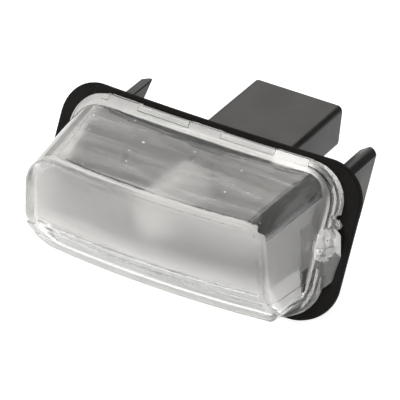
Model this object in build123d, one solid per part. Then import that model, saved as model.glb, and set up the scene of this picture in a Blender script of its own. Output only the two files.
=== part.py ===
from build123d import *
import os
import math

os.makedirs("parts", exist_ok=True)

# ---------------------------------------------------------------- dimensions
# X width, Y depth (lens toward -Y, connector toward +Y), Z up, millimetres.
TILT = 25.0            # flange plane leans back by this angle about X
BOW_R = 163.0          # flange bow radius, convex toward the lens
BOW_S = 3.8            # flange bow height at the middle

GASKET_W, GASKET_H, GASKET_R, GASKET_T = 70.5, 33.7, 8.3, 2.0
RIM_W, RIM_H, RIM_R, RIM_T = 63.1, 32.5, 8.0, 3.4
RIM_U, RIM_V = 0.85, -0.75
SEAT = GASKET_T + 0.08   # back of the lens, a hair clear of the seal and the plate
PLATE_W, PLATE_H, PLATE_R, PLATE_V = 57.6, 26.0, 6.0, -0.8
PLATE_BACK = 2.5       # how far the housing plate reaches behind the gasket seat
TAB_W, TAB_H = 63.2, 11.0

FRONT_Y = -24.0        # middle of the lens front wall
FRONT_BOW = 200.0      # plan radius of the lens front wall
FACET_Z = -2.3         # where the flat front wall turns into the lower facet
FOLD_R = 5.0           # radius of that turn
BOTTOM_Z = -10.5
LEFT_X, RIGHT_X = -28.6, 26.8    # end walls at the front, at the top of the right wall
DRAFT_L, DRAFT_R, DRAFT_T, DRAFT_B = 0.085, 0.12, 0.102, 0.03
TOP_Z = 12.9
WALL = 2.0
BODY_R = (8.0, 5.0, 4.0, 7.5)   # corner radii: top left, top right, bottom right, bottom left
CAVITY_R = (6.0, 3.0, 1.2, 5.5)
FLARE = 2.0            # the right wall slants out this much toward the bottom

BULB_Z = 4.6
BULB_R = 4.9
BULB_Y = -2.5          # shoulder of the bulb, the pinch lies behind it
BULB_LEN = 17.6
PINCH_L, PINCH_W, PINCH_T = 7.4, 8.6, 2.2
LEAD_D = 0.4

CONN_X0, CONN_X1, CONN_Z0, CONN_Z1 = -5.9, 15.3, 2.3, 11.5
CONN_Y0, CONN_Y1 = 15.6, 31.7      # bottom and mouth of the socket
CONN_WALL = 1.5
CONN_R = 1.3
BLADE_T, BLADE_W = 0.8, 2.8
BLADE_Z = 7.15
BLADE_X = (1.9, 7.9)
BLADE_END = 27.0

# ------------------------------------------------------------------- frames
ct, st = math.cos(math.radians(TILT)), math.sin(math.radians(TILT))
F = Plane(origin=(0, 0, 0), x_dir=(1, 0, 0), z_dir=(0, -ct, st))


def bow(w0, w1):
    """Curved layer between two heights above the gasket seat."""
    big = Cylinder(BOW_R + w1, 120, rotation=(90, 0, 0))
    layer = big - Cylinder(BOW_R + w0, 130, rotation=(90, 0, 0))
    return F * (Pos(0, 0, BOW_S - BOW_R) * layer)


def prism(sketch, w0=-30, w1=30):
    return F * (Pos(0, 0, w0) * extrude(sketch, amount=w1 - w0, dir=(0, 0, 1)))


def rr(w, h, r, u=0.0, v=0.0):
    return Pos(u, v) * RectangleRounded(w, h, r)


def fbox(u0, u1, v0, v1, w0, w1):
    return F * (Pos((u0 + u1) / 2, (v0 + v1) / 2, (w0 + w1) / 2)
                * Box(u1 - u0, v1 - v0, w1 - w0))


def box(x0, x1, y0, y1, z0, z1):
    return (Pos((x0 + x1) / 2, (y0 + y1) / 2, (z0 + z1) / 2)
            * Box(x1 - x0, y1 - y0, z1 - z0))


def ycyl(r, x, z, y0, y1):
    return Pos(x, (y0 + y1) / 2, z) * Cylinder(r, y1 - y0, rotation=(90, 0, 0))


def section(y, inset):
    """Cross section of the lens body at depth y."""
    zt = TOP_Z + (y + 23.2) * DRAFT_T - inset
    zb = BOTTOM_Z - (y + 18.5) * DRAFT_B + inset
    tl, tr, br, bl = CAVITY_R if inset > 0 else (r - inset for r in BODY_R)
    xl = LEFT_X - (y + 23.2) * DRAFT_L + inset
    xr = RIGHT_X + (y + 23.2) * DRAFT_R - inset
    xb = xr + FLARE
    q = math.sqrt(0.5)

    def vec(x, z):
        return Vector(x, y, z)

    return make_face([
        Line(vec(xl, zb + bl), vec(xl, zt - tl)),
        ThreePointArc(vec(xl, zt - tl), vec(xl + tl - tl * q, zt - tl + tl * q), vec(xl + tl, zt)),
        Line(vec(xl + tl, zt), vec(xr - tr, zt)),
        ThreePointArc(vec(xr - tr, zt), vec(xr - tr + tr * q, zt - tr + tr * q), vec(xr, zt - tr)),
        Line(vec(xr, zt - tr), vec(xb, zb + br)),
        ThreePointArc(vec(xb, zb + br), vec(xb - br + br * q, zb + br - br * q), vec(xb - br, zb)),
        Line(vec(xb - br, zb), vec(xl + bl, zb)),
        ThreePointArc(vec(xl + bl, zb), vec(xl + bl - bl * q, zb + bl - bl * q), vec(xl, zb + bl)),
    ])


def body_core(inset):
    """Drafted lens block, bowed at the front, with the sloping lower facet."""
    tube = loft([section(-32, inset), section(14, inset)])
    dy, dz = 4.7, 8.9
    n = math.hypot(dy, dz)
    f0 = (FRONT_Y + inset * 1.1, FACET_Z + inset * 0.55)
    # facet line moved inward by the inset
    p0 = (FRONT_Y + inset * dz / n, FACET_Z + inset * dy / n)
    t0 = (f0[0] - p0[0]) / dy
    a = (f0[0], p0[1] - t0 * dz)
    t1 = (BOTTOM_Z - 6 - a[1]) / -dz
    b = (a[0] + dy * t1, BOTTOM_Z - 6)
    # soft fold between the front wall and the facet
    fr = FOLD_R - inset
    turn = math.atan2(dy, dz)
    cy, cz = a[0] + fr, a[1] + fr * math.tan(turn / 2)

    def on_fold(k):
        return Vector(0, cy - fr * math.cos(turn * k), cz - fr * math.sin(turn * k))

    p = [Vector(0, 40, BOTTOM_Z - 6), Vector(0, 40, 25), Vector(0, f0[0], 25), on_fold(0)]
    q = [on_fold(1), Vector(0, b[0], b[1])]
    prof = make_face([Line(p[0], p[1]), Line(p[1], p[2]), Line(p[2], p[3]),
                      ThreePointArc(on_fold(0), on_fold(0.5), on_fold(1)), Line(q[0], q[1]), Line(q[1], p[0])])
    ax = Axis((0, FRONT_Y + FRONT_BOW, 0), (0, 0, 1))
    prof = prof.rotate(ax, -14)
    turned = revolve(prof, ax, 28)
    return tube & turned


# --------------------------------------------------------------------- lens
outer = body_core(0.0)
front_edges = [e for e in outer.edges()
               if e.center().Y < -21.0 and e.center().Z > -0.9]
try:
    outer = fillet(front_edges, 0.7)
except Exception as err:
    print("front fillet left out", err)
# two low steps around the foot of the walls
outer += body_core(-0.18) & box(-45, 45, -40, 20, BOTTOM_Z + 0.1, -4.7)
outer += body_core(-0.36) & box(-45, 45, -40, 20, BOTTOM_Z + 0.1, -7.7)
cavity = body_core(WALL)
soft = [e for e in cavity.edges() if e.center().Y < -17.5 and e.center().Z < 10.0
        and (abs(e.center().X) > 20 or e.center().Z < 0)]
for r in (1.4, 0.9, 0.5):
    try:
        cavity = fillet(soft, r)
        break
    except Exception as err:
        print("cavity fillet failed at", r)

front_side = prism(rr(200, 200, 1), -5, 60) & bow(SEAT, 40)
shell = outer & front_side


def on_layer(e, w):
    """True for an edge that lies on the curved layer at height w."""
    for t in (0.0, 0.5, 1.0):
        q = F.to_local_coords(e @ t)
        if abs(math.hypot(q.X, q.Z - BOW_S + BOW_R) - BOW_R - w) > 0.02:
            return False
    return True


RIM_F = GASKET_T + RIM_T
rim = prism(rr(RIM_W, RIM_H, RIM_R, RIM_U, RIM_V)) & bow(SEAT, RIM_F - 0.8)
rim = fillet([e for e in rim.edges() if on_layer(e, RIM_F - 0.8)], 0.5)
bead = prism(rr(RIM_W - 2.0, RIM_H - 2.0, RIM_R - 1.0, RIM_U, RIM_V)) & bow(SEAT, RIM_F)
rim += fillet([e for e in bead.edges() if on_layer(e, RIM_F)], 0.45)
# low step around the foot of the body
foot = rr(RIM_W - 0.6, RIM_H + 4.0, 7.5, RIM_U, RIM_V - 3.35)
rim += body_core(-0.75) & prism(foot) & bow(SEAT, RIM_F + 0.3)
# three small pads along the top edge of the rim
for u in (-18.6, 1.2, 20.8):
    top = RIM_V + RIM_H / 2
    rim += (fbox(u - 3.7, u + 3.7, top - 1.6, top + 0.3, -5, 20)
            & bow(SEAT + 0.9, RIM_F - 0.15))

# the two snap lugs at the ends of the rim, upright blocks with a slanting outer face
LUG_F, LUG_Z0, LUG_Z1 = -7.05, -6.9, 5.6
def ring(pts, z):
    return make_face(Polyline([Vector(x, y, z) for x, y in pts], close=True))


lug = loft([ring([(30.9, LUG_F), (33.7, LUG_F), (34.8, -2.8), (30.9, -2.8)], LUG_Z0),
            ring([(30.9, LUG_F), (32.2, LUG_F), (34.1, -2.8), (30.9, -2.8)], LUG_Z1)])
end_view = make_face([
    Line((30.0, -20, LUG_Z1), (32.0, -20, LUG_Z1)),
    ThreePointArc((32.0, -20, LUG_Z1), (33.75, -20, 4.8), (34.6, -20, 3.0)),
    Line((34.6, -20, 3.0), (36.0, -20, 1.0)), Line((36.0, -20, 1.0), (36.0, -20, -3.5)),
    Line((36.0, -20, -3.5), (32.6, -20, LUG_Z0)),
    Line((32.6, -20, LUG_Z0), (30.0, -20, LUG_Z0)), Line((30.0, -20, LUG_Z0), (30.0, -20, LUG_Z1))])
lug &= extrude(end_view, amount=40, dir=(0, 1, 0))
for r in (0.35, 0.2):
    try:
        lug = fillet([e for e in lug.edges() if e.center().X > 31.0 and e.center().Y < -2.9], r)
        break
    except Exception as err:
        print("lug fillet failed at", r)
# outer face of the lug: along the face, up, outward
L = Plane(origin=(32.2, LUG_F, 0), x_dir=(1.8, 4.65, 0), z_dir=(4.65, -1.8, 0))


def lbox(a0, a1, z0, z1, n0, n1):
    return L * (Pos((a0 + a1) / 2, (z0 + z1) / 2, (n0 + n1) / 2) * Box(a1 - a0, z1 - z0, n1 - n0))


lug -= lbox(0.7, 3.2, 2.4, 4.2, -0.4, 2)
lug -= lbox(-0.1, 0.9, 0.95, 2.25, -1.3, 2)
lug -= lbox(1.5, 2.6, -0.2, 0.35, -1.0, 2.5)
lug += Pos(32.6, LUG_F, -3.2) * Cylinder(0.8, 0.8, rotation=(90, 0, 0))
# small knob on the rim above the lug
knob = F * (Pos(32.2, 4.2, 3.3) * Cylinder(0.95, 2.6))
lug_r = (lug + knob) & bow(SEAT, 40)
lugs = [lug_r, (Pos(1.5, 0, 0) * (lug + knob).mirror(Plane.YZ)) & bow(SEAT, 40)]

notch = [fbox(min(s * 31.6, s * 34), max(s * 31.6, s * 34), 5.3, 6.4, -4, 9) for s in (-1, 1)]

lens = shell + rim
for nt in notch:
    lens -= nt
for lg in lugs:
    lens += lg
lens -= cavity
# catch slots in the rim beside the lugs, open at the back
def across(s, u0, u1, v0, v1, w0, w1):
    """Box at one end, mirrored for the left, which sits a little further in."""
    a, b = (u0, u1) if s > 0 else (1.1 - u1, 1.1 - u0)
    return fbox(a, b, v0, v1, w0, w1)


for s in (-1, 1):
    lens -= across(s, 30.0, 31.3, -3.1, 3.1, -6, 4.9)
    lens -= across(s, 31.0, 31.75, -2.4, 2.4, 3.45, 4.9)

# ------------------------------------------------------------------- gasket
opening = rr(PLATE_W, PLATE_H, PLATE_R, 0, PLATE_V) + rr(TAB_W, TAB_H, 2.0)
gasket = prism(rr(GASKET_W, GASKET_H, GASKET_R, 0.25, -0.2)) & bow(0, GASKET_T)
gasket = fillet([e for e in gasket.edges() if on_layer(e, 0) or on_layer(e, GASKET_T)], 0.6)
gasket -= prism(opening)

# ---------------------------------------------------------------- terminals
def terminal(s, jog_y, blade_x):
    """Contact strip: spring arm beside the bulb pinch, jog, blade."""
    side = PINCH_T / 2 + LEAD_D
    x0, x1 = (side, side + 0.6) if s > 0 else (-side - 0.6, -side)
    arm = box(x0, x1, BULB_Y + 1.2, jog_y + BLADE_T, BULB_Z - 1.6, BULB_Z + 1.6)
    bx0, bx1 = blade_x - BLADE_T / 2, blade_x + BLADE_T / 2
    jog = box(min(x0, bx0), max(x1, bx1), jog_y, jog_y + BLADE_T,
              BULB_Z - 1.6, BLADE_Z + BLADE_W / 2)
    blade = box(bx0, bx1, jog_y, BLADE_END, BLADE_Z - BLADE_W / 2, BLADE_Z + BLADE_W / 2)
    tip = blade.edges().filter_by(Axis.Z).sort_by(Axis.Y)[-2:]
    blade = chamfer(tip, 0.25)
    return arm + jog + blade


term_a = terminal(-1, 12.4, BLADE_X[0])
term_b = terminal(1, 8.6, BLADE_X[1])

# --------------------------------------------------------------------- bulb
def revolve_y(pts):
    f = make_face(Polyline([Vector(r, y, BULB_Z) for r, y in pts], close=True))
    return revolve(f, Axis((0, 0, BULB_Z), (0, 1, 0)), 360)


tip_y = BULB_Y - BULB_LEN
outer_b = revolve_y([(0, BULB_Y + 0.6), (3.4, BULB_Y + 0.6), (BULB_R, BULB_Y - 1.4),
                     (BULB_R, tip_y + BULB_R), (4.72, tip_y + 3.6), (4.2, tip_y + 2.35),
                     (3.35, tip_y + 1.3), (2.2, tip_y + 0.55), (1.0, tip_y + 0.14),
                     (0, tip_y)])
g = 0.6
inner_b = revolve_y([(0, BULB_Y - 1.2), (3.2, BULB_Y - 1.2), (BULB_R - g, BULB_Y - 2.4),
                     (BULB_R - g, tip_y + BULB_R), (4.72 - g, tip_y + 3.75),
                     (4.2 - g, tip_y + 2.7), (3.35 - g, tip_y + 1.8),
                     (2.2 - g, tip_y + 1.2), (0.7, tip_y + 0.85), (0, tip_y + 0.8)])
pinch = box(-PINCH_T / 2, PINCH_T / 2, BULB_Y, BULB_Y + PINCH_L,
            BULB_Z - PINCH_W / 2, BULB_Z + PINCH_W / 2)
pinch = fillet(pinch.edges().filter_by(Axis.Y), 0.8)
FIL_Y = BULB_Y - 10.6
LEAD_Z = 2.6


def lead(s):
    """Lead wire: up to the filament at one end, folded back along the pinch at the other."""
    z = BULB_Z + s * LEAD_Z
    sx = s * (PINCH_T / 2 + LEAD_D / 2)
    zb = BULB_Z + s * 0.6
    end = BULB_Y + PINCH_L + 0.9
    path = FilletPolyline(
        (0, FIL_Y, z), (0, BULB_Y + 1.0, z), (0, BULB_Y + 3.0, zb), (0, end, zb),
        (sx, end, zb), (sx, BULB_Y + 2.4, zb), radius=0.45)
    start = path @ 0
    prof = Plane(origin=start, z_dir=path % 0) * Circle(LEAD_D / 2)
    return sweep(prof, path)


lead_a = lead(-1)
lead_b = lead(1)
# coiled filament drawn as a slightly arched rod between the lead ends
fil_path = ThreePointArc((0, FIL_Y - 0.1, BULB_Z - LEAD_Z), (0, FIL_Y - 0.9, BULB_Z),
                         (0, FIL_Y - 0.1, BULB_Z + LEAD_Z))
filament = sweep(Plane(origin=fil_path @ 0, z_dir=fil_path % 0) * Circle(0.22), fil_path)
lead_a -= filament
lead_b -= filament

bulb = outer_b + pinch
bulb -= inner_b
bulb -= lead_a
bulb -= lead_b

# ------------------------------------------------------------------ housing
plate = prism(rr(PLATE_W, PLATE_H, PLATE_R, 0, PLATE_V) + rr(TAB_W, TAB_H, 2.0)) \
    & bow(-PLATE_BACK, GASKET_T)
behind = prism(rr(200, 200, 1), -60, 30) & (
    F * (Pos(0, 0, BOW_S - BOW_R) * Cylinder(BOW_R - 0.6, 120, rotation=(90, 0, 0))))

shroud = box(CONN_X0, CONN_X1, -8, CONN_Y1, CONN_Z0, CONN_Z1)
shroud = fillet(shroud.edges().filter_by(Axis.Y), CONN_R)
lean = make_face(Polyline([Vector(-20, CONN_Y1, CONN_Z1), Vector(-20, CONN_Y1 - 1.25, CONN_Z0),
                           Vector(-20, CONN_Y1 - 1.8, CONN_Z0 - 4), Vector(-20, CONN_Y1 + 20, CONN_Z0 - 4),
                           Vector(-20, CONN_Y1 + 20, CONN_Z1)], close=True))
shroud -= extrude(lean, amount=60, dir=(1, 0, 0))
shroud = fillet(shroud.faces().sort_by(Axis.Y)[-1].edges(), 0.35)
boss = box(-6.4, 6.4, -8, 13.6, BULB_Z - 7.0, CONN_Z1 - 2.2)
boss = fillet(boss.edges().filter_by(Axis.Y), 1.0)
# hook fin on the left
fin_pts = [(-4, 9.6), (22.0, 9.6), (19.1, 6.9), (9.3, -1.0), (-6, -6.0)]
fin = Pos(-27.1, 0, 0) * extrude(
    make_face(Polyline([Vector(0, y, z) for y, z in fin_pts], close=True)), amount=2.2, dir=(1, 0, 0))
fin = fillet([e for e in fin.edges() if e.center().Y > 3 and abs(e.center().X + 26.0) > 0.5], 0.3)
fin_tip = make_face(Polyline([Vector(-28.1, 19.6, -20), Vector(-25.6, 22.1, -20), Vector(-25.6, 25, -20),
                              Vector(-28.1, 25, -20)], close=True))
fin -= extrude(fin_tip, amount=40, dir=(0, 0, 1))
# retaining tongue on the right: outer wall with a sloping shoulder on top
ton_wall = fbox(29.3, 31.1, 6.0, 20.0, -10.0, 3)
ton_top = fbox(27.3, 31.1, 5.0, 20.0, -10.0, 3)
tongue = ton_wall + ton_top
cap = make_face([
    Line((18.0, -20, -40.0), (18.0, -20, 9.6)), Line((18.0, -20, 9.6), (27.2, -20, 12.3)),
    Line((27.2, -20, 12.3), (29.2, -20, 13.5)),
    ThreePointArc((29.2, -20, 13.5), (30.55, -20, 13.05), (31.3, -20, 11.8)),
    Line((31.3, -20, 11.8), (31.3, -20, -40.0)), Line((31.3, -20, -40.0), (18.0, -20, -40.0))])
tongue &= extrude(cap, amount=60, dir=(0, 1, 0))

rear = shroud + boss + fin + tongue
rear &= behind
housing = plate + rear

# catches that hold the lens, standing on the two end tabs
for s in (-1, 1):
    arm = across(s, 30.15, 30.85, -2.6, 2.6, 1.0, 4.7)
    nib = across(s, 30.85, 31.5, -2.1, 2.1, 3.6, 4.5)
    housing += arm + nib

# guide walls that stand inside the two ends of the lens, stepped on the outside
guide = body_core(WALL + 0.45) - body_core(WALL + 1.6)
guide_low = body_core(WALL + 0.12) - body_core(WALL + 1.6)
for x0, x1 in ((22, 36), (-36, -22)):
    walls = (guide & box(x0, x1, -9.6, 4, BOTTOM_Z + 2.9, 2.4)) \
        + (guide_low & box(x0, x1, -9.6, 4, BOTTOM_Z + 2.9, -2.9))
    housing += walls & bow(GASKET_T, 40) & (bow(SEAT, 40) + prism(opening))
    housing += walls & bow(1.0, GASKET_T) & prism(opening)

# shallow pocket in the plate behind the lens
housing -= prism(rr(36.0, 15.0, 3.0, 1.0, 0.6)) & bow(-0.4, GASKET_T + 1)
# recess for the bulb, slot for its pinch and contacts, the socket of the connector
housing -= ycyl(BULB_R + 0.7, 0, BULB_Z, -20, BULB_Y + 0.9)
housing -= box(-2.5, 2.5, -20, BULB_Y + PINCH_L + 1.6, BULB_Z - 4.6, BULB_Z + 4.6)
sock = box(CONN_X0 + CONN_WALL, CONN_X1 - CONN_WALL, CONN_Y0, CONN_Y1 + 5,
           CONN_Z0 + CONN_WALL, CONN_Z1 - CONN_WALL)
sock = fillet(sock.edges().filter_by(Axis.Y), 0.5)
housing -= sock
housing -= term_a
housing -= term_b

# ------------------------------------------------------------------- export
shapes = {
    "lens": lens,
    "gasket": gasket,
    "housing": housing,
    "bulb_glass": bulb,
    "filament": filament,
    "lead_wire_lower": lead_a,
    "lead_wire_upper": lead_b,
    "terminal_left": term_a,
    "terminal_right": term_b,
}
for name, shape in shapes.items():
    s = shape.solids()
    print(name, len(s), [round(x.volume, 2) for x in s], shape.bounding_box())
    export_step(s[0] if len(s) == 1 else shape, "parts/%s.step" % name)
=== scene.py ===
import bpy
import math
from mathutils import Matrix, Vector


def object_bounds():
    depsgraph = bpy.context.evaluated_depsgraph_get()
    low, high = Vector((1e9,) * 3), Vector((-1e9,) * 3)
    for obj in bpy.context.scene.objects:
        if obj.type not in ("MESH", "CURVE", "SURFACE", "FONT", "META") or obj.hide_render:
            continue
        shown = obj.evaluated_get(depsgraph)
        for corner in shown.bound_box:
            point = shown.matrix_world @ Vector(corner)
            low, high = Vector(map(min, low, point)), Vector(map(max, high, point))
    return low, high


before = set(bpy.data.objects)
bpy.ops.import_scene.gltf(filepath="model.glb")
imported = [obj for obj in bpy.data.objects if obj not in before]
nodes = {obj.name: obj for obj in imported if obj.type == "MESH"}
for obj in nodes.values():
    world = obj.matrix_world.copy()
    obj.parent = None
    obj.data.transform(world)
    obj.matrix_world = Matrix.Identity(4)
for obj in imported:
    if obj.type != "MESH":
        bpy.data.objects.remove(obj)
cad_box = [list(map(float, p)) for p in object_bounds()]
scene = bpy.context.scene


# ------------------------------------------------------------------ node helpers
def material(name):
    m = bpy.data.materials.new(name)
    m.use_nodes = True
    t = m.node_tree
    t.nodes.clear()
    out = t.nodes.new("ShaderNodeOutputMaterial")
    p = t.nodes.new("ShaderNodeBsdfPrincipled")
    t.links.new(p.outputs["BSDF"], out.inputs["Surface"])
    return m, t, p, out


def coords(t, scale=(1, 1, 1)):
    tc = t.nodes.new("ShaderNodeTexCoord")
    mp = t.nodes.new("ShaderNodeMapping")
    mp.inputs["Scale"].default_value = scale
    t.links.new(tc.outputs["Object"], mp.inputs["Vector"])
    return mp.outputs["Vector"]


def noise(t, vec, scale, detail=3.0, rough=0.5, distortion=0.0):
    n = t.nodes.new("ShaderNodeTexNoise")
    n.inputs["Scale"].default_value = scale
    n.inputs["Detail"].default_value = detail
    n.inputs["Roughness"].default_value = rough
    n.inputs["Distortion"].default_value = distortion
    t.links.new(vec, n.inputs["Vector"])
    return n.outputs["Fac"]


def ramp(t, fac, lo, hi, f0=0.0, f1=1.0):
    r = t.nodes.new("ShaderNodeMapRange")
    r.inputs["From Min"].default_value = f0
    r.inputs["From Max"].default_value = f1
    r.inputs["To Min"].default_value = lo
    r.inputs["To Max"].default_value = hi
    t.links.new(fac, r.inputs["Value"])
    return r.outputs["Result"]


def colour_ramp(t, fac, stops):
    r = t.nodes.new("ShaderNodeValToRGB")
    while len(r.color_ramp.elements) < len(stops):
        r.color_ramp.elements.new(0.5)
    for e, (pos, col) in zip(r.color_ramp.elements, stops):
        e.position = pos
        e.color = (*col, 1.0)
    t.links.new(fac, r.inputs["Fac"])
    return r.outputs["Color"]


def bump(t, height, strength, dist, normal=None):
    b = t.nodes.new("ShaderNodeBump")
    b.inputs["Strength"].default_value = strength
    b.inputs["Distance"].default_value = dist
    t.links.new(height, b.inputs["Height"])
    if normal is not None:
        t.links.new(normal, b.inputs["Normal"])
    return b.outputs["Normal"]


def axis(t, vec, name):
    sep = t.nodes.new("ShaderNodeSeparateXYZ")
    t.links.new(vec, sep.inputs["Vector"])
    return sep.outputs[name]


def combine(t, op, a, b):
    m = t.nodes.new("ShaderNodeMath")
    m.operation = op
    t.links.new(a, m.inputs[0])
    t.links.new(b, m.inputs[1])
    return m.outputs["Value"]


def step(t, op, a, k):
    m = t.nodes.new("ShaderNodeMath")
    m.operation = op
    m.inputs[1].default_value = k
    t.links.new(a, m.inputs[0])
    return m.outputs["Value"]


# ----------------------------------------------------------------------- materials
# clear injection-moulded lens: faint flow waviness, handling haze, a duller collar at the foot of the tongue end
m_lens, t, p, out = material("clear_moulded_plastic")
v = coords(t)
p.inputs["Base Color"].default_value = (0.985, 0.99, 0.99, 1)
p.inputs["Transmission Weight"].default_value = 1.0
p.inputs["IOR"].default_value = 1.49
haze = noise(t, v, 260.0, 4.0, 0.6)
facing = t.nodes.new("ShaderNodeVectorMath")
facing.operation = "DOT_PRODUCT"
facing.inputs[1].default_value = (0.0, -math.cos(math.radians(25)), math.sin(math.radians(25)))
t.links.new(t.nodes.new("ShaderNodeTexCoord").outputs["Normal"], facing.inputs[0])
collar = combine(t, "MULTIPLY", ramp(t, axis(t, v, "X"), 0.0, 1.0, 0.0255, 0.0262), ramp(t, axis(t, v, "X"), 1.0, 0.0, 0.0301, 0.0306))
dull = step(t, "MULTIPLY", combine(t, "MULTIPLY", collar, ramp(t, facing.outputs["Value"], 0.0, 1.0, 0.88, 0.92)), 0.45)
t.links.new(combine(t, "ADD", dull, ramp(t, haze, 0.0, 0.07, 0.35, 0.75)), p.inputs["Roughness"])
flow = noise(t, coords(t, (1, 1, 2.2)), 90.0, 2.0, 0.4, 0.6)
fine = noise(t, v, 2200.0, 2.0)
t.links.new(bump(t, fine, 0.05, 0.00004, bump(t, flow, 0.05, 0.0006)), p.inputs["Normal"])

# soft black seal: matt, closed-cell skin with fine grain
m_rubber, t, p, out = material("seal_rubber")
v = coords(t)
grain = noise(t, v, 4200.0, 3.0, 0.65)
patch = noise(t, v, 180.0, 4.0)
t.links.new(colour_ramp(t, patch, [(0.3, (0.0045, 0.0041, 0.0039)), (0.72, (0.009, 0.0082, 0.0078))]), p.inputs["Base Color"])
t.links.new(ramp(t, grain, 0.72, 0.95), p.inputs["Roughness"])
p.inputs["Specular IOR Level"].default_value = 0.12
t.links.new(bump(t, grain, 0.5, 0.00012), p.inputs["Normal"])

# black glass-filled housing plastic: satin, spark-eroded grain
m_black, t, p, out = material("black_moulded_plastic")
v = coords(t)
grain = noise(t, v, 3200.0, 4.0, 0.6)
cloud = noise(t, v, 120.0, 4.0, 0.55, 0.8)
t.links.new(colour_ramp(t, cloud, [(0.3, (0.011, 0.0112, 0.0112)), (0.75, (0.021, 0.0212, 0.0212))]), p.inputs["Base Color"])
t.links.new(ramp(t, cloud, 0.27, 0.38, 0.3, 0.7), p.inputs["Roughness"])
p.inputs["Specular IOR Level"].default_value = 0.29
sink = noise(t, coords(t, (1, 0.6, 1)), 75.0, 1.0, 0.3)
t.links.new(bump(t, grain, 0.3, 0.00005, bump(t, sink, 0.22, 0.004)), p.inputs["Normal"])

# bulb glass: drawn tube, slight waviness along its length; a third of its shading is diffuse white haze, painted
# highlight that makes the glass show as soft light blobs in place of glints on clear glass
m_glass, t, p, out = material("bulb_glass")
v = coords(t, (1, 0.25, 1))
p.inputs["Base Color"].default_value = (0.985, 0.992, 0.988, 1)
p.inputs["Transmission Weight"].default_value = 0.66
p.inputs["IOR"].default_value = 1.51
wave = noise(t, v, 420.0, 2.0)
t.links.new(ramp(t, wave, 0.12, 0.22, 0.3, 0.8), p.inputs["Roughness"])
t.links.new(bump(t, wave, 0.1, 0.0003), p.inputs["Normal"])

# tungsten coil: dull dark grey drawn wire
m_tung, t, p, out = material("tungsten_wire")
v = coords(t)
n = noise(t, v, 9000.0, 3.0)
t.links.new(colour_ramp(t, n, [(0.3, (0.16, 0.155, 0.15)), (0.7, (0.27, 0.265, 0.26))]), p.inputs["Base Color"])
p.inputs["Metallic"].default_value = 1.0
t.links.new(ramp(t, n, 0.35, 0.6), p.inputs["Roughness"])
t.links.new(bump(t, n, 0.2, 0.00001), p.inputs["Normal"])

# nickel-plated lead wire
m_lead, t, p, out = material("lead_wire")
v = coords(t)
n = noise(t, v, 5200.0, 3.0)
t.links.new(colour_ramp(t, n, [(0.3, (0.52, 0.49, 0.44)), (0.7, (0.68, 0.65, 0.6))]), p.inputs["Base Color"])
p.inputs["Metallic"].default_value = 1.0
t.links.new(ramp(t, n, 0.24, 0.42), p.inputs["Roughness"])
t.links.new(bump(t, n, 0.2, 0.00001), p.inputs["Normal"])

# stamped brass contacts: rolled grain along the strip, slightly dulled
m_brass, t, p, out = material("contact_brass")
v = coords(t, (6, 0.35, 6))
n = noise(t, v, 900.0, 4.0, 0.6)
dull = noise(t, coords(t), 260.0, 3.0)
t.links.new(colour_ramp(t, dull, [(0.3, (0.5, 0.36, 0.15)), (0.72, (0.74, 0.56, 0.27))]), p.inputs["Base Color"])
p.inputs["Metallic"].default_value = 1.0
t.links.new(ramp(t, n, 0.2, 0.42), p.inputs["Roughness"])
t.links.new(bump(t, n, 0.25, 0.00003), p.inputs["Normal"])

# cavity side of the lens: matt-etched, scatters the light
m_frost, t, p, out = material("clear_plastic_etched")
v = coords(t)
p.inputs["Base Color"].default_value = (0.97, 0.97, 0.965, 1)
p.inputs["IOR"].default_value = 1.49
streak = noise(t, coords(t, (0.14, 1, 1)), 330.0, 4.0, 0.6, 0.4)
edge = ramp(t, axis(t, v, "Y"), 0.5, 1.0, -0.0212, -0.0196)
dots = t.nodes.new("ShaderNodeTexVoronoi")
dots.inputs["Scale"].default_value = 300.0
t.links.new(v, dots.inputs["Vector"])
speck = ramp(t, dots.outputs["Distance"], 0.1, 1.0, 0.045, 0.085)
cloudy = combine(t, "MULTIPLY", edge, ramp(t, streak, 0.72, 0.99, 0.4, 0.6))
t.links.new(combine(t, "MULTIPLY", speck, cloudy), p.inputs["Transmission Weight"])
etch = noise(t, v, 3000.0, 3.0, 0.6)
t.links.new(ramp(t, etch, 0.21, 0.28), p.inputs["Roughness"])
t.links.new(bump(t, etch, 0.3, 0.00003), p.inputs["Normal"])

# smooth cavity walls: polished, with a breath of haze
m_inner, t, p, out = material("clear_plastic_inner")
v = coords(t)
p.inputs["Base Color"].default_value = (0.97, 0.97, 0.968, 1)
p.inputs["IOR"].default_value = 1.49
p.inputs["Transmission Weight"].default_value = 0.95
smear = noise(t, v, 320.0, 4.0, 0.6)
t.links.new(ramp(t, smear, 0.0, 0.08, 0.3, 0.75), p.inputs["Roughness"])
t.links.new(bump(t, smear, 0.05, 0.0003), p.inputs["Normal"])

# rounded right top edge of the cavity: polished, smeared lengthwise
m_edge, t, p, out = material("clear_plastic_edge")
p.inputs["Base Color"].default_value = (0.97, 0.97, 0.968, 1)
p.inputs["IOR"].default_value = 1.49
smear = noise(t, coords(t, (1, 0.12, 1)), 420.0, 4.0, 0.6, 0.3)
t.links.new(ramp(t, smear, 0.90, 1.0, 0.36, 0.47), p.inputs["Transmission Weight"])
t.links.new(ramp(t, smear, 0.02, 0.10, 0.3, 0.75), p.inputs["Roughness"])
t.links.new(bump(t, smear, 0.05, 0.0003), p.inputs["Normal"])
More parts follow.
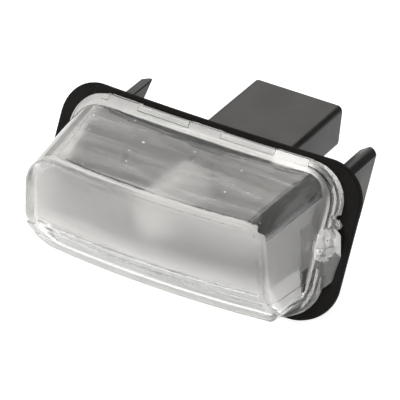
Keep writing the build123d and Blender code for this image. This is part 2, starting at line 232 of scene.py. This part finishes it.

# right end wall of the cavity: etched in front and above, clear beside the guide wall; the strip along the foot in
# front is whitened, a painted highlight standing in for the light lines along the foot
m_side, t, p, out = material("clear_plastic_end_wall")
v = coords(t)
p.inputs["Base Color"].default_value = (0.97, 0.965, 0.965, 1)
p.inputs["IOR"].default_value = 1.49
ahead = ramp(t, axis(t, v, "Y"), 1.0, 0.0, -0.00970, -0.00955)
# whiter strip along the foot in front: painted highlight
foot = combine(t, "MULTIPLY", ahead, ramp(t, axis(t, v, "Z"), 1.0, 0.0, -0.0021, -0.0018))
over_guide = ramp(t, axis(t, v, "Z"), 0.0, 1.0, 0.0023, 0.0025)
etched = combine(t, "MAXIMUM", ahead, over_guide)
etch = noise(t, v, 3000.0, 3.0, 0.6)
beside = combine(t, "MULTIPLY", step(t, "SUBTRACT", step(t, "MULTIPLY", etched, -1.0), -1.0), ramp(t, axis(t, v, "Z"), 0.93, 0.58, -0.0032, -0.0027))
t.links.new(combine(t, "MULTIPLY", combine(t, "ADD", ramp(t, etched, 0.0, 0.72), beside), ramp(t, foot, 1.0, 0.35)), p.inputs["Transmission Weight"])
t.links.new(combine(t, "MULTIPLY", ramp(t, etched, 0.08, 1.0), ramp(t, etch, 0.34, 0.46)), p.inputs["Roughness"])
t.links.new(bump(t, etch, 0.25, 0.00002), p.inputs["Normal"])

# front wall of the cavity: etched deeper, milky. It grows more milky toward the bottom, painted light standing in for
# the bright floor seen through the bottom wall
m_milk, t, p, out = material("clear_plastic_milky")
v = coords(t)
p.inputs["Base Color"].default_value = (0.975, 0.97, 0.96, 1)
p.inputs["IOR"].default_value = 1.49
# more milky toward the bottom: painted light from the floor below
low = ramp(t, axis(t, v, "Z"), 0.44, 1.0, -0.004, 0.002)
upper = combine(t, "MULTIPLY", ramp(t, axis(t, v, "Z"), 0.0, 1.0, 0.004, 0.010), ramp(t, axis(t, v, "X"), -0.12, 0.36, -0.020, 0.020))
high = step(t, "ADD", step(t, "MULTIPLY", upper, -1.0), 1.0)
across = ramp(t, axis(t, v, "X"), 0.94, 1.1, -0.025, 0.020)
flow = noise(t, coords(t, (0.5, 1, 1.4)), 150.0, 4.0, 0.6, 1.2)
shape = combine(t, "MULTIPLY", combine(t, "MULTIPLY", low, high), across)
t.links.new(combine(t, "MULTIPLY", shape, ramp(t, flow, 0.64, 0.78, 0.3, 0.7)), p.inputs["Transmission Weight"])
etch = noise(t, v, 3000.0, 3.0, 0.6)
t.links.new(ramp(t, etch, 0.64, 0.76), p.inputs["Roughness"])
t.links.new(bump(t, etch, 0.3, 0.00003), p.inputs["Normal"])

# seat face of the rim: matt and whitened, clearing toward the tongue end. The lower seat is a matt white finish; the
# white outer bead band and its fine light and dark lines are painted highlight, standing in for light reflected inside
# the clear rim
m_seat, t, p, out = material("clear_plastic_seat")
v = coords(t)
etch = noise(t, v, 1800.0, 3.0, 0.6)
up_seat = t.nodes.new("ShaderNodeVectorMath")
up_seat.operation = "DOT_PRODUCT"
up_seat.inputs[1].default_value = (0.0, math.sin(math.radians(25)), math.cos(math.radians(25)))
t.links.new(v, up_seat.inputs[0])
off_u = step(t, "MAXIMUM", step(t, "SUBTRACT", step(t, "ABSOLUTE", step(t, "SUBTRACT", axis(t, v, "X"), 0.00085), 0.0), 0.02355), 0.0)
off_v = step(t, "MAXIMUM", step(t, "SUBTRACT", step(t, "ABSOLUTE", step(t, "ADD", up_seat.outputs["Value"], 0.00075), 0.0), 0.00825), 0.0)
reach = step(t, "POWER", combine(t, "ADD", step(t, "POWER", off_u, 2.0), step(t, "POWER", off_v, 2.0)), 0.5)
below = ramp(t, up_seat.outputs["Value"], 1.0, 0.0, -0.0005, 0.0005)
ledge = ramp(t, reach, 1.0, 0.88, 0.0064, 0.0066)
# fine light and dark lines along the outer bead: painted highlight lines
painted_highlight_lines = ramp(t, step(t, "SINE", step(t, "MULTIPLY", reach, 2 * math.pi / 0.0006), 0.0), 0.85, 1.0, -1.0, 1.0)
# white outer bead band: painted highlight
painted_bead_band = combine(t, "MULTIPLY", combine(t, "MULTIPLY", ledge, painted_highlight_lines), ramp(t, reach, 0.0, 1.0, 0.00535, 0.0055))
matt_seat_and_painted_bead = combine(t, "MAXIMUM", below, painted_bead_band)
whitened = combine(t, "MULTIPLY", matt_seat_and_painted_bead, ramp(t, axis(t, v, "X"), 1.0, 0.03, 0.0235, 0.0265))
t.links.new(colour_ramp(t, etch, [(0.3, (0.9, 0.9, 0.895)), (0.7, (0.98, 0.98, 0.975))]), p.inputs["Base Color"])
t.links.new(ramp(t, whitened, 0.95, 0.05), p.inputs["Transmission Weight"])
p.inputs["IOR"].default_value = 1.49
t.links.new(ramp(t, etch, 0.25, 0.4), p.inputs["Roughness"])
t.links.new(bump(t, etch, 0.3, 0.00003), p.inputs["Normal"])

# catch slots of the lugs: matt and nearly opaque white, painted light that makes the clear lug read bright in place of
# light reflected inside it
m_slot, t, p, out = material("clear_plastic_slot")
v = coords(t)
etch = noise(t, v, 2400.0, 3.0, 0.6)
t.links.new(colour_ramp(t, etch, [(0.3, (0.88, 0.88, 0.875)), (0.7, (1.0, 1.0, 0.995))]), p.inputs["Base Color"])
p.inputs["Transmission Weight"].default_value = 0.06
p.inputs["IOR"].default_value = 1.49
t.links.new(ramp(t, etch, 0.3, 0.5), p.inputs["Roughness"])
t.links.new(bump(t, etch, 0.3, 0.00003), p.inputs["Normal"])

for name, mat in {
    "lens": m_lens, "gasket": m_rubber, "housing": m_black,
    "bulb_glass": m_glass, "filament": m_tung, "lead_wire_lower": m_lead,
    "lead_wire_upper": m_lead, "terminal_left": m_brass, "terminal_right": m_brass,
}.items():
    o = nodes[name]
    o.data.materials.clear()
    o.data.materials.append(mat)

# finish of the lens face by face: polished outside, etched cavity, matt seat
lens = nodes["lens"].data
lens.materials.append(m_frost)
lens.materials.append(m_seat)
lens.materials.append(m_slot)
lens.materials.append(m_milk)
lens.materials.append(m_inner)
lens.materials.append(m_side)
lens.materials.append(m_edge)
FLANGE_N = Vector((0, -math.cos(math.radians(25)), math.sin(math.radians(25))))


def depth_in_body(q):
    """How far a point lies under the outer surface of the lens body, in mm."""
    x, y, z = q.x * 1000, q.y * 1000, q.z * 1000
    lean = min(1.0, max(0.0, (7.9 - z) / 17.0))
    right = 26.8 + (y + 23.2) * 0.12 + 2.0 * lean - x
    left = x + 28.6 + (y + 23.2) * 0.085
    top = 12.9 + (y + 23.2) * 0.102 - z
    bottom = z + 10.5 + (y + 18.5) * 0.03
    front = y + 24.0 - x * x / 400.0
    facet = (front * 8.9 + (z + 2.3) * 4.7) / 10.06
    return min(left, right, top, bottom, front, facet)


FLANGE_UP = Vector((0, math.sin(math.radians(25)), math.cos(math.radians(25))))
INSIDE = Vector((-0.0004, -0.010, 0.001))
for f in lens.polygons:
    q, n = f.center, f.normal
    slot = 0.0288 < abs(q.x) < 0.0319 and -0.0033 < q.dot(FLANGE_UP) < 0.0033 and q.dot(FLANGE_N) < 0.005
    lug_back = abs(q.x) > 0.0292 and n.y > 0.9 and -0.0034 < q.y < -0.0022
    if slot or lug_back:
        f.material_index = 3
    elif n.dot(FLANGE_N) < -0.9 and q.dot(FLANGE_N) < 0.0063:
        f.material_index = 2
    elif depth_in_body(q) > 1.2 and n.dot(INSIDE - q) > 0:
        run = q.y + 0.0232
        flat_top = n.z < -0.9 and q.x < 0.0218 + run * 0.12
        end_wall = n.x < -0.9 and q.z < 0.0079 + run * 0.102
        front = n.y > 0.2 and abs(n.z) < 0.455 or n.x > 0.3 and n.z < 0.3
        front_round = n.y > 0.15 and n.z < -0.2 and n.x > -0.5 and q.y < -0.0175
        if front_round and n.z < -0.9:
            f.material_index = 0
        elif front or front_round:
            f.material_index = 4
        elif end_wall:
            f.material_index = 6
        elif flat_top or n.z < -0.2 and q.x < 0:
            f.material_index = 1
        elif n.z > -0.2:
            f.material_index = 5
        else:
            f.material_index = 7

# -------------------------------------------------------------------------- stage
FLOOR_Z = cad_box[0][2] - 0.0002


def floor_sheet():
    """Round light-table top, wide enough to reach past the picture in every view."""
    import bmesh
    bm = bmesh.new()
    rings = []
    for r in (0.05, 0.2, 0.6, 1.5, 3.5):
        rings.append([bm.verts.new((r * math.cos(a), r * math.sin(a), FLOOR_Z))
                      for a in (2 * math.pi * i / 48 for i in range(48))])
    mid = bm.verts.new((0, 0, FLOOR_Z))
    for i in range(48):
        k = (i + 1) % 48
        bm.faces.new((mid, rings[0][i], rings[0][k]))
        for a, b in zip(rings, rings[1:]):
            bm.faces.new((a[i], b[i], b[k], a[k]))
    me = bpy.data.meshes.new("floor")
    bm.to_mesh(me)
    bm.free()
    o = bpy.data.objects.new("floor", me)
    scene.collection.objects.link(o)
    return o


m_floor, t, p, out = material("pale_floor")
v = coords(t)
n = noise(t, v, 300.0, 3.0)
t.links.new(colour_ramp(t, n, [(0.3, (0.5, 0.5, 0.5)), (0.7, (0.54, 0.54, 0.54))]), p.inputs["Base Color"])
p.inputs["Roughness"].default_value = 0.9
p.inputs["Specular IOR Level"].default_value = 0.1
p.inputs["Emission Color"].default_value = (1, 1, 1, 1)
p.inputs["Emission Strength"].default_value = 0.85
floor = floor_sheet()
floor.data.materials.append(m_floor)


def area(name, loc, target, size, size_y, energy):
    d = bpy.data.lights.new(name, "AREA")
    d.shape = "RECTANGLE"
    d.size, d.size_y = size, size_y
    d.energy = energy
    d.color = (1.0, 0.975, 0.945)
    o = bpy.data.objects.new(name, d)
    o.location = loc
    o.rotation_euler = (Vector(target) - Vector(loc)).to_track_quat("-Z", "Y").to_euler()
    scene.collection.objects.link(o)
    return o


area("back_left_soft", (-0.45, 0.80, 0.62), (0, 0, 0), 0.9, 0.6, 3.2)
area("top_soft", (0.0, -0.1, 0.9), (0, 0, 0), 0.8, 0.8, 2.4)
area("front_soft", (-0.2, -0.88, 0.60), (0, 0, 0), 0.7, 0.5, 9.3)
area("front_low_soft", (-0.054, -0.970, 0.235), (0, 0, 0), 0.29, 0.2, 1.7)

world = bpy.data.worlds.new("studio")
scene.world = world
world.use_nodes = True
bg = world.node_tree.nodes["Background"]
bg.inputs["Color"].default_value = (1.0, 0.98, 0.955, 1)
bg.inputs["Strength"].default_value = 0.22

# ------------------------------------------------------------------------- camera
AZ, EL, ROLL = math.radians(29.3297), math.radians(31.3885), math.radians(2.3872)
c = Vector((math.sin(AZ) * math.cos(EL), -math.cos(AZ) * math.cos(EL), math.sin(EL)))
right = Vector((math.cos(AZ), math.sin(AZ), 0))
up = c.cross(right)
r2 = right * math.cos(ROLL) + up * math.sin(ROLL)
u2 = up * math.cos(ROLL) - right * math.sin(ROLL)
cam_data = bpy.data.cameras.new("camera")
cam_data.lens = 392.15
cam_data.sensor_width = 36.0
cam_data.clip_start = 0.01
cam_data.clip_end = 20.0
cam = bpy.data.objects.new("camera", cam_data)
loc = c * 0.8912 - r2 * 0.0000693 - u2 * 0.000331
cam.matrix_world = Matrix((
    (r2.x, u2.x, c.x, loc.x), (r2.y, u2.y, c.y, loc.y), (r2.z, u2.z, c.z, loc.z), (0, 0, 0, 1)))
scene.collection.objects.link(cam)
scene.camera = cam

scene.view_settings.view_transform = "Standard"
scene.view_settings.look = "None"
scene.view_settings.exposure = 0.0
scene.view_settings.gamma = 1.0
scene.cycles.max_bounces = 24
scene.cycles.transmission_bounces = 20
scene.cycles.transparent_max_bounces = 20
scene.cycles.glossy_bounces = 8
scene.cycles.caustics_reflective = True
scene.cycles.caustics_refractive = True
scene.cycles.use_denoising = True
